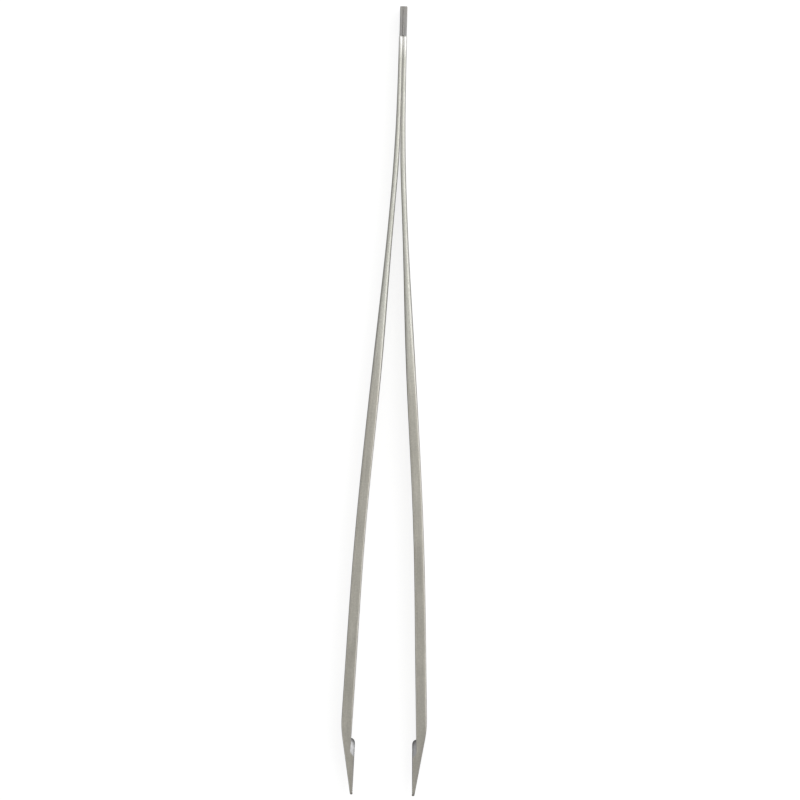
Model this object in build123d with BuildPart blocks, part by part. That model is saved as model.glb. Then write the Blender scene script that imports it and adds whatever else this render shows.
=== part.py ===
from build123d import *
import os

os.makedirs("parts", exist_ok=True)

# Long straight aquascaping tweezers, in millimetres.
# They lie on one long edge: Z = 0 is the surface they rest on, X runs across
# the opening, and +Y points to the welded head. The origin lies under the
# middle of the overall box. Distances called "from the head" start at the
# head's flat end and run along -Y to the tips.

# ---------------------------------------------------------------- driving sizes
overall_length = 270.0      # head end to tips
tang_length = 10.2          # ground flat that the two arms are welded along
touch_length = 34.0         # leaves lie together behind the shoulder
leaf_length = 56.0          # thin stretch that bends, from the shoulder
jaw_length = 27.0           # from the cut at the end of the shank to the tip
pad_length = 19.3           # raised gripping pad, up to the tip

grip_width = 10.0           # across the face, along Z: the widest stretch
leaf_inset = 0.75           # each side of the leaf's start, inside the grip's side
shoulder_inset = 0.25       # and the shoulder's, inside the leaf's
shoulder_side_step = 0.3    # and the tang's, inside the shoulder's
heel_inset = 0.8            # each side of the jaw's start, inside the grip's side
tip_width = 2.0
heel_taper = 0.03           # how fast each side of the face closes in at the jaw

tang_thickness = 1.23       # one arm, along X
shoulder_step = 0.16        # how far the shoulder stands out over the tang
leaf_thickness = 1.72       # where the leaves part
heel_thickness = 3.76       # at the start of the jaw
tip_thickness = 0.85
pad_height = 1.36           # pad face over the arm's inner face

heel_half_gap = 10.83       # centre plane to the arm's inner face, at the jaw
tip_inset = 0.66            # how much nearer to that plane the pad is at the tip
hairline = 0.03             # half of the gap between the two leaves

shoulder_run = 6.0          # stretch in which the shoulder widens to the leaf
grip_start = 120.0          # full width is reached, from the head
narrowing_length = 53.0     # from full width to the start of the jaw
bend_distance = 23.0        # outer bend of the jaw, from the tip
bend_rise = 0.16            # how far the outer face still rises up to the bend
bend_radius = 35.0
pad_arch_length = 6.5       # the pad's arched start, seen on the face
pad_arch_inset = 0.98       # each side of the arch, inside the jaw's widest place

edge_radius = 0.45          # long edges of the arms
jaw_edge_radius = 0.3       # long edges of the jaws
nose_radius = 0.7           # tip corners, seen on the face
end_radius = 0.2            # outer corners of the head's end
weld_depth = 0.35           # V-groove round the tangs that the weld fills
tooth_pitch = 0.7
tooth_depth = 0.18
tooth_land = 0.08           # flat crest left between two grooves
tooth_margin = 3.0          # plain pad face at the arched start
tooth_tip_margin = 0.6      # and at the tip

# ---------------------------------------------------------------- derived places
tooth_count = int((pad_length - tooth_margin - tooth_tip_margin) / tooth_pitch)
mid_height = grip_width / 2
cut_margin = 5.0            # how far cutting solids reach past the work


def along(from_head):
    """Y of a place given by its distance from the head's end."""
    return overall_length / 2 - from_head


head_y = along(0)
tip_y = along(overall_length)
shoulder_y = along(tang_length)
part_y = along(tang_length + touch_length)
leaf_end_y = along(tang_length + leaf_length)
jaw_y = along(overall_length - jaw_length)
pad_y = along(overall_length - pad_length)
bend_y = along(overall_length - bend_distance)
grip_start_y = along(grip_start)
grip_end_y = jaw_y + narrowing_length

shoulder_outer = tang_thickness + shoulder_step
leaf_half_width = grip_width / 2 - leaf_inset
shoulder_half_width = leaf_half_width - shoulder_inset
tang_width = 2 * (shoulder_half_width - shoulder_side_step)
heel_half_width = grip_width / 2 - heel_inset

# looks along +X: its own x is the row's Y, and its own y starts at mid height
face_plane = Plane(origin=(0, 0, mid_height), x_dir=(0, 1, 0), z_dir=(1, 0, 0))

# How an arm bows and thickens between the place where the leaves part and the
# jaw: share of that stretch, share of the half gap, share of the thickening.
bow = [
    (0.090, 0.068, 0.04),
    (0.205, 0.193, 0.15),
    (0.331, 0.307, 0.59),
    (0.457, 0.456, 0.84),
    (0.608, 0.669, 0.87),
    (0.734, 0.808, 0.92),
    (0.885, 0.916, 1.00),
]
bow_inner = []
bow_outer = []
for stretch_share, gap_share, thickening_share in bow:
    y = part_y - stretch_share * (part_y - jaw_y)
    inner_x = hairline + gap_share * (heel_half_gap - hairline)
    thickness = leaf_thickness + thickening_share * (heel_thickness - leaf_thickness)
    bow_inner.append((inner_x, y))
    bow_outer.append((inner_x + thickness, y))

last_inner_x, last_y = bow_inner[-1]
heel_slope = (heel_half_gap - last_inner_x) / (last_y - jaw_y)
heel_outer = heel_half_gap + heel_thickness
pad_start_gap = heel_half_gap + heel_slope * (jaw_y - pad_y)
pad_start_face = pad_start_gap - pad_height
tip_half_gap = heel_half_gap - tip_inset
bend_half_width = heel_half_width - heel_taper * (jaw_y - bend_y)
pad_arch_half_width = bend_half_width - pad_arch_inset


def pad_face(y):
    """X of the pad's face, before it is toothed."""
    share = (pad_y - y) / pad_length
    return pad_start_face + share * (tip_half_gap - pad_start_face)


def mirrored(piece, label):
    """The same piece on the other arm."""
    with BuildPart() as twin:
        add(piece.part)
        mirror(about=Plane.YZ, mode=Mode.REPLACE)
    twin.part.label = label
    return twin


# ---------------------------------------------------------------- arm blank
# One arm from the shoulder to the jaw: its side view pushed up through Z, and
# trimmed by its face view.
with BuildPart() as arm_blank:
    with BuildSketch(Plane.XY) as side_view:
        with BuildLine():
            Line((hairline, shoulder_y), (hairline, part_y))
            Spline(
                (hairline, part_y),
                *bow_inner,
                (heel_half_gap, jaw_y),
                tangents=((0, -1), (heel_slope, -1)),
            )
            Line((heel_half_gap, jaw_y), (heel_outer, jaw_y))
            Spline(
                (heel_outer, jaw_y),
                *reversed(bow_outer),
                (hairline + leaf_thickness, part_y),
                (shoulder_outer, shoulder_y),
                tangents=((-heel_slope, 1), (0, 1)),
            )
            Line((shoulder_outer, shoulder_y), (hairline, shoulder_y))
        make_face()
    extrude(amount=grip_width)
    with BuildSketch(face_plane) as face_view:
        with BuildLine():
            Line((shoulder_y, 0), (shoulder_y, shoulder_half_width))
            Spline(
                (shoulder_y, shoulder_half_width),
                (shoulder_y - shoulder_run, leaf_half_width),
                (grip_start_y, grip_width / 2),
                tangents=((-1, 0.1), (-1, 0)),
            )
            Line((grip_start_y, grip_width / 2), (grip_end_y, grip_width / 2))
            Spline(
                (grip_end_y, grip_width / 2),
                (jaw_y, heel_half_width),
                tangents=((-1, 0), (-1, -heel_taper)),
            )
            Line((jaw_y, heel_half_width), (jaw_y, 0))
            mirror(about=Plane.XZ)
        make_face()
    extrude(amount=heel_outer + cut_margin, mode=Mode.INTERSECT)
    # the % operator gives an edge's direction, here at its middle
    lengthwise = [edge for edge in arm_blank.edges() if abs((edge % 0.5).Y) > 0.9]
    fillet(lengthwise, edge_radius)


# ---------------------------------------------------------------- tangs and weld
# The head: two flats that meet on the centre plane. Each has a bevel along
# three sides, and the weld fills the V that two bevels make.
with BuildPart() as right_tang:
    with BuildSketch(Plane.XY.offset(mid_height - tang_width / 2)) as tang_view:
        with BuildLine():
            Polyline(
                (0, shoulder_y),
                (tang_thickness, shoulder_y),
                (tang_thickness, head_y),
                (0, head_y),
                close=True,
            )
        make_face()
        fillet(tang_view.vertices().sort_by_distance((tang_thickness, head_y))[0], end_radius)
    extrude(amount=tang_width)
    seam_edges = right_tang.edges().filter_by_position(Axis.X, 0, 0)
    chamfer(seam_edges.sort_by(Axis.Y)[1:], weld_depth)
right_tang.part.label = "right_tang"
left_tang = mirrored(right_tang, "left_tang")

with BuildPart() as weld_seam:
    with BuildSketch(Plane.XY.offset(mid_height - tang_width / 2)):
        with Locations((0, (shoulder_y + head_y) / 2)):
            Rectangle(2 * weld_depth, tang_length)
    extrude(amount=tang_width)
    add(right_tang.part, mode=Mode.SUBTRACT)
    add(left_tang.part, mode=Mode.SUBTRACT)
weld_seam.part.label = "weld_seam"


# ---------------------------------------------------------------- leaves and shanks
# The arm blank is cut across where the thin leaf ends and the shank starts.
leaf_end_plane = Plane(origin=(0, leaf_end_y, 0), z_dir=(0, 1, 0))

with BuildPart() as right_spring_leaf:
    add(arm_blank.part)
    split(bisect_by=leaf_end_plane, keep=Keep.TOP)
right_spring_leaf.part.label = "right_spring_leaf"
left_spring_leaf = mirrored(right_spring_leaf, "left_spring_leaf")

with BuildPart() as right_shank:
    add(arm_blank.part)
    split(bisect_by=leaf_end_plane, keep=Keep.BOTTOM)
right_shank.part.label = "right_shank"
left_shank = mirrored(right_shank, "left_shank")


# ---------------------------------------------------------------- jaws
half_groove = (tooth_pitch - tooth_land) / 2
arch_end_y = pad_y - pad_arch_length
arch_end_gap = pad_start_gap + heel_slope * pad_arch_length

# What is cut away beside the pad's arched start, down to the arm's inner face.
with BuildPart() as beside_pad:
    with BuildSketch(Plane.XY):
        with BuildLine():
            Polyline(
                (0, pad_y + cut_margin),
                (pad_start_gap - heel_slope * cut_margin, pad_y + cut_margin),
                (arch_end_gap, arch_end_y),
                (0, arch_end_y),
                close=True,
            )
        make_face()
    extrude(amount=grip_width)
    with BuildSketch(face_plane.offset(arch_end_gap)):
        with Locations((arch_end_y, 0)):
            Ellipse(pad_arch_length, pad_arch_half_width)
    extrude(amount=-arch_end_gap, mode=Mode.SUBTRACT)

with BuildPart() as right_jaw:
    with BuildSketch(Plane.XY) as jaw_side:
        with BuildLine():
            Polyline(
                (heel_half_gap, jaw_y),
                (pad_start_gap, pad_y),
                (pad_start_face, pad_y),
                (tip_half_gap, tip_y),
                (tip_half_gap + tip_thickness, tip_y),
                (heel_outer + bend_rise, bend_y),
                (heel_outer, jaw_y),
                close=True,
            )
        make_face()
        pad_corner = (pad_start_face, pad_y)
        bend_corner = (heel_outer + bend_rise, bend_y)
        fillet(jaw_side.vertices().sort_by_distance(pad_corner)[0], pad_height - tooth_depth)
        fillet(jaw_side.vertices().sort_by_distance(bend_corner)[0], bend_radius)
    extrude(amount=grip_width)
    with BuildSketch(face_plane) as jaw_face:
        with BuildLine():
            Polyline(
                (jaw_y, 0),
                (jaw_y, heel_half_width),
                (bend_y, bend_half_width),
                (tip_y, tip_width / 2),
                (tip_y, 0),
            )
            mirror(about=Plane.XZ)
        make_face()
        fillet(jaw_face.vertices().group_by(Axis.X)[0], nose_radius)
        fillet(jaw_face.vertices().sort_by_distance((bend_y, bend_half_width))[0], bend_radius)
        fillet(jaw_face.vertices().sort_by_distance((bend_y, -bend_half_width))[0], bend_radius)
    extrude(amount=heel_outer + cut_margin, mode=Mode.INTERSECT)
    arm_edges = [
        edge
        for edge in right_jaw.edges()
        if abs((edge % 0.5).Y) > 0.9 and (edge @ 0.5).X > pad_face((edge @ 0.5).Y) + pad_height / 2
    ]
    fillet(arm_edges, jaw_edge_radius)
    add(beside_pad.part, mode=Mode.SUBTRACT)
    with BuildSketch(Plane.XY):
        for index in range(tooth_count):
            groove_y = tip_y + tooth_tip_margin + (index + 0.5) * tooth_pitch
            with BuildLine():
                Polyline(
                    (pad_face(groove_y + half_groove), groove_y + half_groove),
                    (pad_face(groove_y) + tooth_depth, groove_y),
                    (pad_face(groove_y - half_groove), groove_y - half_groove),
                    (0, groove_y),
                    close=True,
                )
            make_face()
    extrude(amount=grip_width, mode=Mode.SUBTRACT)
right_jaw.part.label = "right_jaw"
left_jaw = mirrored(right_jaw, "left_jaw")


# ---------------------------------------------------------------- files
pieces = [
    weld_seam,
    right_tang,
    left_tang,
    right_spring_leaf,
    left_spring_leaf,
    right_shank,
    left_shank,
    right_jaw,
    left_jaw,
]
for piece in pieces:
    export_step(piece.part, f"parts/{piece.part.label}.step")
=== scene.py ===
# %% [markdown]
# # Long aquascaping tweezers
# The object is a pair of spring-steel arms welded together at one end. Each arm is one
# piece of metal that changes along its length: a flat tang under the weld, a thin leaf
# that bends, a thick shank for the fingers and a jaw with a raised, toothed pad.
# The CAD frame already holds every size, so the first step is to load it. All that
# follows reads its sizes from there and adds what the CAD model leaves out: rounding
# that changes along the arm, the drafted pad, teeth, weld ripples and brushed steel.

# %% Load the frame
import math

import bmesh
import bpy
import numpy as np
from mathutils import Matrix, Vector
from mathutils.bvhtree import BVHTree


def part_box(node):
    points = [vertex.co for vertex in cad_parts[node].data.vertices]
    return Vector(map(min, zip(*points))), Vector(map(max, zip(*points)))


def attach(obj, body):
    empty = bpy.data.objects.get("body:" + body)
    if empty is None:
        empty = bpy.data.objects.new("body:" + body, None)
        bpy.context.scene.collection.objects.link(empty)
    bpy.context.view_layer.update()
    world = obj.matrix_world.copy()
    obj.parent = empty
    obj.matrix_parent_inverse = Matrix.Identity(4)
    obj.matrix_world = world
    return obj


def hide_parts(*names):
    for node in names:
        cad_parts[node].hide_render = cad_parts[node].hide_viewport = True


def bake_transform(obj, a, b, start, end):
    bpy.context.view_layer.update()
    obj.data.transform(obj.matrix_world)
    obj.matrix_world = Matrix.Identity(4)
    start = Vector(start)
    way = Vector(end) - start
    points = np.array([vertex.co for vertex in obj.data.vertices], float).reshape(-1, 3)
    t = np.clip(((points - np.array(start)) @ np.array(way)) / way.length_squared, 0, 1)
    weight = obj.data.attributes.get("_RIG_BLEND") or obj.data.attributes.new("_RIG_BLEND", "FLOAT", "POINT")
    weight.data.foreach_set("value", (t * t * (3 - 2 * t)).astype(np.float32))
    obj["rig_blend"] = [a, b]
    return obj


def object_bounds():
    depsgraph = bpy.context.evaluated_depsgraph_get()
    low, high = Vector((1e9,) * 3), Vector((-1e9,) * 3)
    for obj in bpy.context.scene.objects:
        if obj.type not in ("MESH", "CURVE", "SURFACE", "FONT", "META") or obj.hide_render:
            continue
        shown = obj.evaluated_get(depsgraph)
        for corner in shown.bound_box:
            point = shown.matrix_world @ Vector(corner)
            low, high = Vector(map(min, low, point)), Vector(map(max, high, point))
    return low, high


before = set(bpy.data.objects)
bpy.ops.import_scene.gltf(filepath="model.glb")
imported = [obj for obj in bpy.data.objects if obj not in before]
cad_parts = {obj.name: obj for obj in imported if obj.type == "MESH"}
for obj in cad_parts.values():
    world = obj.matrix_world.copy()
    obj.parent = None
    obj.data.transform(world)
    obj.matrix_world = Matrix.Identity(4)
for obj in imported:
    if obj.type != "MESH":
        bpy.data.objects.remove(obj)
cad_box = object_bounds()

MM = 0.001
print("CAD box, mm:", [round((high - low) / MM, 2) for low, high in zip(*cad_box)])

# %% [markdown]
# ## Reading the arm from the frame
# The CAD arm is a mesh of flat triangles, so copying its vertices would copy its facets.
# A better way is to measure it: rays shot at the mesh give the inner face, the outer
# face and the side at any place, and a smooth line through many such readings gives back
# the real curve. Places are counted in millimetres from the head's flat end.

# %% Landmarks along the tweezers
head_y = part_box("right_tang")[1].y
tip_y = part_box("right_jaw")[0].y
length = (head_y - tip_y) / MM
tang_end = (head_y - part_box("right_tang")[0].y) / MM
jaw_start = (head_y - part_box("right_jaw")[1].y) / MM
middle_z = (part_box("right_shank")[0].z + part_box("right_shank")[1].z) / 2
print(f"length {length:.1f}, tang to {tang_end:.1f}, jaw from {jaw_start:.1f} mm")


# %% A shell to shoot rays at
def shell_of(node_names):
    """One ray-cast tree over several CAD nodes."""
    corners, faces = [], []
    for name in node_names:
        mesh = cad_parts[name].data
        first = len(corners)
        corners += [corner.co.copy() for corner in mesh.vertices]
        faces += [[first + index for index in face.vertices] for face in mesh.polygons]
    return BVHTree.FromPolygons(corners, faces)


arm_shell = shell_of(["right_tang", "right_spring_leaf", "right_shank", "right_jaw"])
FAR = 0.05


def reading(place, height=0.0):
    """Inner and outer X and the half width at a place, all in millimetres."""
    y = head_y - place * MM
    z = middle_z + height * MM
    inner = arm_shell.ray_cast(Vector((-FAR, y, z)), Vector((1, 0, 0)))[0].x
    outer = arm_shell.ray_cast(Vector((FAR, y, z)), Vector((-1, 0, 0)))[0].x
    above = Vector(((inner + outer) / 2, y, FAR))
    top = arm_shell.ray_cast(above, Vector((0, 0, -1)))[0].z
    return inner / MM, outer / MM, (top - middle_z) / MM


print("reading at the grip:", [round(value, 2) for value in reading(150)])

# %% [markdown]
# ## The pad and its teeth
# The pad is where the inner face jumps towards the other arm. Scanning the middle of the
# jaw in fine steps finds that jump, and then every groove as a small dip in the pad's
# face. Counting the dips gives the number of teeth and their pitch without repeating
# any number from the CAD model.

# %% Find the pad
SCAN_STEP = 0.02
HEEL_REACH = 4.0
PAD_STEP_SEEN = 0.1
jaw_scan = np.arange(jaw_start + 0.5, length - 0.1, SCAN_STEP)
inner_scan = np.array([reading(place)[0] for place in jaw_scan])
heel_part = jaw_scan < jaw_start + HEEL_REACH
heel_line = np.polyfit(jaw_scan[heel_part], inner_scan[heel_part], 1)
raised = np.polyval(heel_line, jaw_scan) - inner_scan
pad_start = jaw_scan[np.argmax(raised > PAD_STEP_SEEN)]

# %% Find the teeth
PLAIN_BACK = 2.4
PLAIN_FRONT = 0.3
plain_back = pad_start + PLAIN_BACK
plain_places = [plain_back, length - PLAIN_FRONT]
pad_line = np.polyfit(plain_places, [reading(place)[0] for place in plain_places], 1)
dip = inner_scan - np.polyval(pad_line, jaw_scan)
in_groove = (dip > 0.5 * dip[jaw_scan > plain_back].max()) & (jaw_scan > plain_back)
groove_starts = jaw_scan[1:][in_groove[1:] & ~in_groove[:-1]]
groove_ends = jaw_scan[1:][~in_groove[1:] & in_groove[:-1]]
grooves = (groove_starts + groove_ends) / 2
tooth_pitch = (grooves[-1] - grooves[0]) / (len(grooves) - 1)
tooth_height = dip[in_groove].max()
print(f"pad from {pad_start:.1f} mm, {len(grooves)} grooves, depth {tooth_height:.2f}")

# %% [markdown]
# ## Smooth lines through the readings
# At each place, a straight line is fitted to the readings around it, and near ones
# weigh most. A wide reach irons out the CAD mesh's facets along the gentle bow. A
# narrow reach keeps what turns quickly, such as the shoulder and the jaw's outer bend.

# %% Readings of one stretch
END_MARGIN = 0.15


def stretch_readings(start, end, step):
    """Places and readings between two places, a little inside both."""
    places = np.arange(start + END_MARGIN, end - END_MARGIN, step)
    return places, np.array([reading(place) for place in places])


tang_places, tang_readings = stretch_readings(0.8, tang_end, 1.0)
arm_places, arm_readings = stretch_readings(tang_end, length - 1.0, 0.4)
INNER, OUTER, WIDTH = 0, 1, 2


# %% Local straight-line fit
def reach_at(place):
    """How far the fit looks, in millimetres."""
    turns = [tang_end, tang_end + 4, tang_end + 20, jaw_start - 15, jaw_start - 2, length]
    return np.interp(place, turns, [0.8, 0.8, 4.0, 4.0, 0.9, 0.9])


def steady(place, which, last=None):
    """One reading at a place, with the CAD mesh's facets ironed out."""
    use = arm_places < (last or length)
    away = arm_places[use] - place
    weight = np.exp(-0.25 * (away / reach_at(place)) ** 2)
    near = weight > 1e-5
    if near.sum() < 3:
        near = np.argsort(np.abs(away))[:12]
    fit = np.polyfit(away[near], arm_readings[use][near, which], 1, w=weight[near])
    return fit[1]


def arm_inner(place):
    """The arm's own inner face, which runs on as a straight line under the pad."""
    if place < jaw_start:
        return steady(place, INNER, last=jaw_start)
    return np.polyval(heel_line, place)


print("inner, outer, half width at 60 mm:", [round(steady(60, which), 3) for which in range(3)])

# %% [markdown]
# ## One cross-section
# Every section is drawn with the same number of points, from the middle of the outer
# face round to the middle of the inner face. Because the count never changes, sections
# can be joined one to the next like the hoops of a barrel. Where a feature is missing,
# as the pad is on the shank, its points simply lie on top of each other and are merged
# at the end. The rounding of the long edges is a size of its own at each place: almost
# a half round on the thin leaf, and crisp on the ground shank and jaw.

# %% Rounding and crown
FACE_STEPS = 5
CORNER_STEPS = 7
SIDE_STEPS = 4
SHELF_STEPS = 3
WALL_STEPS = 12
PAD_STEPS = 5
LEAF_ROUNDING = 0.42
SHANK_ROUNDING = 0.4
JAW_ROUNDING = 0.3
TANG_ROUNDING = 0.22
OUTER_CROWN = 0.10
leaf_round_end = 0.30 * length
shank_round_start = 0.55 * length


def rounding(place, thickness):
    """Radius of the long edges, in millimetres."""
    on_leaf = LEAF_ROUNDING * thickness
    share = np.interp(place, [leaf_round_end, shank_round_start], [0, 1])
    share = share * share * (3 - 2 * share)
    plain = np.interp(place, [jaw_start - 6, jaw_start + 6], [SHANK_ROUNDING, JAW_ROUNDING])
    return on_leaf * (1 - share) + plain * share


# %% How far a rounded end has drawn in
def draw_in(distance, radius):
    """Depth of a quarter round at a distance from the end that it starts at."""
    if distance >= radius:
        return 0.0
    return radius - math.sqrt(radius**2 - (radius - distance) ** 2)


# %% [markdown]
# ## The pad's shape
# Seen on the face, the pad starts as an arch. At its front the wall rises in a quarter
# round, and along the sides it is a straight slope. So the wall is a stack of arches:
# at the foot the largest, at the top the smallest. Further on, the arches are wider
# than the arm, and the arm's own side cuts them off along a slanting crease.

# %% Pad values
ARCH_LENGTH = 6.5
ARCH_HALF_WIDTH = 3.05
FRONT_LEAN = 1.7
SIDE_LEAN = 0.32
PAD_EDGE = 0.15
TIP_SIDE_ROUND = 0.3
TIP_PAD_ROUND = 0.2
TIP_NOSE_ROUND = 0.7
FLANK = 0.44 * tooth_pitch
teeth_end = grooves[-1] + FLANK
arch_end = pad_start + ARCH_LENGTH


def pad_face(place):
    """X of the pad's face, let down to the foot of the teeth where it is toothed."""
    flanks = [grooves[0] - FLANK, grooves[0], grooves[-1], teeth_end]
    sunk = tooth_height * np.interp(place, flanks, [0, 1, 1, 0])
    return np.polyval(pad_line, place) + sunk


def arch_half_width(place, lean):
    """Half width of the arch at a level. lean is 0 at its foot and a quarter turn at its top."""
    half_length = ARCH_LENGTH - FRONT_LEAN * (1 - math.cos(lean))
    half_width = ARCH_HALF_WIDTH - SIDE_LEAN * math.sin(lean)
    back = arch_end - place
    if back <= 0:
        return half_width
    if back >= half_length:
        return 0.0
    return half_width * math.sqrt(1 - (back / half_length) ** 2)


# %% Sizes of a section
NOSE_SHARE = 0.6
EDGE_SHARE = 0.45
TIP_EDGE_SHARE = 0.35
FOOT_SHARE = 0.9


def arm_sizes(place):
    """Half width, outer and inner face, pad height, edge radius, pad's foot, inner edge radius.
    Near the tip, the shares keep every rounding smaller than what it is cut from."""
    on_pad = place > pad_start
    from_tip = length - place
    half = steady(place, WIDTH) - draw_in(from_tip, TIP_NOSE_ROUND)
    outer = steady(place, OUTER) - draw_in(from_tip, TIP_SIDE_ROUND)
    inner = arm_inner(place)
    face = pad_face(place) + draw_in(from_tip, TIP_PAD_ROUND)
    rise = 0.0
    if on_pad:
        inner = min(inner, face + NOSE_SHARE * (outer - face))
        rise = inner - face
    radius = min(rounding(place, outer - inner), EDGE_SHARE * half)
    if on_pad:
        radius = min(radius, TIP_EDGE_SHARE * (outer - face))
    foot = min(half, arch_half_width(place, 0.0)) if on_pad else 0.0
    inner_radius = max(0.0, min(radius, FOOT_SHARE * (half - foot)))
    return half, outer, inner, rise, radius, foot, inner_radius


# %% The outer face and its rounded edge
def outer_points(place, half, outer, radius):
    """Points and wear from the middle of the outer face round the long edge."""
    crown_places = [tang_end, tang_end + 60, length - 12, length]
    crown = OUTER_CROWN * np.interp(place, crown_places, [0.3, 1, 1, 0.3])
    points, wear = [], []
    for step in range(FACE_STEPS):
        z = (half - radius) * step / FACE_STEPS
        points.append((outer - crown * (z / half) ** 2, z))
        wear.append(0.0)
    edge_x = outer - crown * ((half - radius) / half) ** 2
    for step in range(CORNER_STEPS + 1):
        angle = math.pi / 2 * step / CORNER_STEPS
        x = edge_x - radius * (1 - math.cos(angle))
        points.append((x, half - radius * (1 - math.sin(angle))))
        wear.append(math.sin(2 * angle))
    return points, wear


# %% The pad's wall and face
WALL_SEEN = 0.02


def pad_points(place, half, inner, rise):
    """Points and wear up the pad's wall and in to the middle of its face.
    Wear below zero marks the ground wall."""
    on_pad = place > pad_start
    past_front = min(1.0, max(0.0, (place - pad_start) / FRONT_LEAN))
    highest = math.acos(1 - past_front)
    points, wear = [], []
    for step in range(WALL_STEPS + 1):
        lean = min(math.pi / 2 * step / WALL_STEPS, highest)
        height = rise * math.sin(lean)
        z = min(half, arch_half_width(place, lean)) if on_pad else 0.0
        z = max(0.0, z - draw_in(rise - height, PAD_EDGE))
        points.append((inner - height, z))
        wear.append(-1.0 if on_pad and z < half - WALL_SEEN else 0.0)
    pad_x, pad_edge_z = points[-1]
    for step in range(1, PAD_STEPS + 1):
        points.append((pad_x, pad_edge_z * (1 - step / PAD_STEPS)))
        wear.append(0.0)
    return points, wear


# %% The section itself
def arm_section(place):
    """Points (x, z) of the upper half of a section, z from mid height, with edge wear."""
    half, outer, inner, rise, radius, foot, inner_radius = arm_sizes(place)
    points, wear = outer_points(place, half, outer, radius)
    low, high = points[-1][0], inner + inner_radius
    for step in range(1, SIDE_STEPS):
        points.append((low + (high - low) * step / SIDE_STEPS, half))
        wear.append(0.0)
    for step in range(CORNER_STEPS + 1):
        angle = math.pi / 2 * step / CORNER_STEPS
        x = inner + inner_radius * (1 - math.sin(angle))
        points.append((x, half - inner_radius * (1 - math.cos(angle))))
        wear.append(math.sin(2 * angle) * inner_radius / radius)
    shelf_start = half - inner_radius
    for step in range(1, SHELF_STEPS):
        points.append((inner, shelf_start + (foot - shelf_start) * step / SHELF_STEPS))
        wear.append(0.0)
    wall_points, wall_wear = pad_points(place, half, inner, rise)
    return np.array(points + wall_points), np.array(wear + wall_wear)


print("points in half a section:", len(arm_section(150)[0]))

# %% [markdown]
# ## Sections at both ends
# The tang is a flat blade with sheared edges. Where it meets the other tang, the seam
# has a small bevel for the weld. Just past the weld, a ground shoulder steps the blade
# up to the full arm.

# %% The tang's section
SEAM_BEVEL = 0.33
TANG_END_ROUND = 0.2
TANG_CORNER_ROUND = 0.12


def tang_section(place):
    """The same points as arm_section, for the flat tang."""
    index = np.clip(place, tang_places[0], tang_places[-1])
    half = np.interp(index, tang_places, tang_readings[:, WIDTH])
    outer = np.interp(index, tang_places, tang_readings[:, OUTER])
    half -= draw_in(place, TANG_CORNER_ROUND)
    outer -= draw_in(place, TANG_END_ROUND)
    inner = max(0.0, SEAM_BEVEL - place)
    radius = TANG_ROUNDING
    bevel = SEAM_BEVEL - inner
    points, wear = [], []
    for step in range(FACE_STEPS):
        points.append((outer, (half - radius) * step / FACE_STEPS))
        wear.append(0.0)
    for step in range(CORNER_STEPS + 1):
        angle = math.pi / 2 * step / CORNER_STEPS
        x = outer - radius * (1 - math.cos(angle))
        points.append((x, half - radius * (1 - math.sin(angle))))
        wear.append(math.sin(2 * angle))
    for step in range(1, SIDE_STEPS):
        x = outer - radius + (inner + bevel - outer + radius) * step / SIDE_STEPS
        points.append((x, half))
        wear.append(0.0)
    for step in range(CORNER_STEPS + 1):
        share = step / CORNER_STEPS
        points.append((inner + bevel * (1 - share), half - bevel * share))
        wear.append(0.0)
    shelf_start = half - bevel
    for step in range(1, SHELF_STEPS):
        points.append((inner, shelf_start * (1 - step / SHELF_STEPS)))
        wear.append(0.0)
    for step in range(WALL_STEPS + 1 + PAD_STEPS):
        points.append((inner, 0.0))
        wear.append(0.0)
    return np.array(points), np.array(wear)


# %% The shoulder between the two
SHOULDER_RISE = 0.25


def section(place):
    """Any section of the arm, from the flat end to the nose."""
    if place <= tang_end:
        return tang_section(place)
    share = min(1.0, (place - tang_end) / SHOULDER_RISE)
    arm_points, arm_wear = arm_section(max(place, tang_end + SHOULDER_RISE))
    if share >= 1:
        return arm_points, arm_wear
    tang_points, tang_wear = tang_section(tang_end)
    blend = math.sin(share * math.pi / 2)
    points = tang_points + (arm_points - tang_points) * blend
    return points, tang_wear + (arm_wear - tang_wear) * blend


# %% [markdown]
# ## Stations
# A section is drawn wherever the shape needs one: close together at the flat end, the
# shoulder, the pad's arch and the nose, and further apart along the even bow.

# %% Places of all the sections
def spread(start, end, step):
    """Even places from start up to, and without, end."""
    count = max(1, round((end - start) / step))
    return list(np.linspace(start, end, count, endpoint=False))


nose = [length - TIP_NOSE_ROUND * (1 - math.sin(math.pi / 2 * step / 12)) for step in range(13)]
stations = [0.0, 0.03, 0.08, 0.15, 0.25, 0.35]
stations += spread(1.2, tang_end, 1.0)
stations += spread(tang_end, tang_end + SHOULDER_RISE, 0.04)
stations += spread(tang_end + SHOULDER_RISE, tang_end + 8, 0.5)
stations += spread(tang_end + 8, jaw_start - 3, 1.5)
stations += spread(jaw_start - 3, pad_start, 0.4)
stations += spread(pad_start, pad_start + 0.3, 0.03)
stations += spread(pad_start + 0.3, pad_start + FRONT_LEAN, 0.1)
stations += spread(pad_start + FRONT_LEAN, arch_end + 2, 0.2)
stations += spread(arch_end + 2, teeth_end, 0.35)
stations += spread(teeth_end, nose[0], 0.08)
stations += nose
stations = sorted({round(place, 4) for place in stations})
print("sections:", len(stations))
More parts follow.
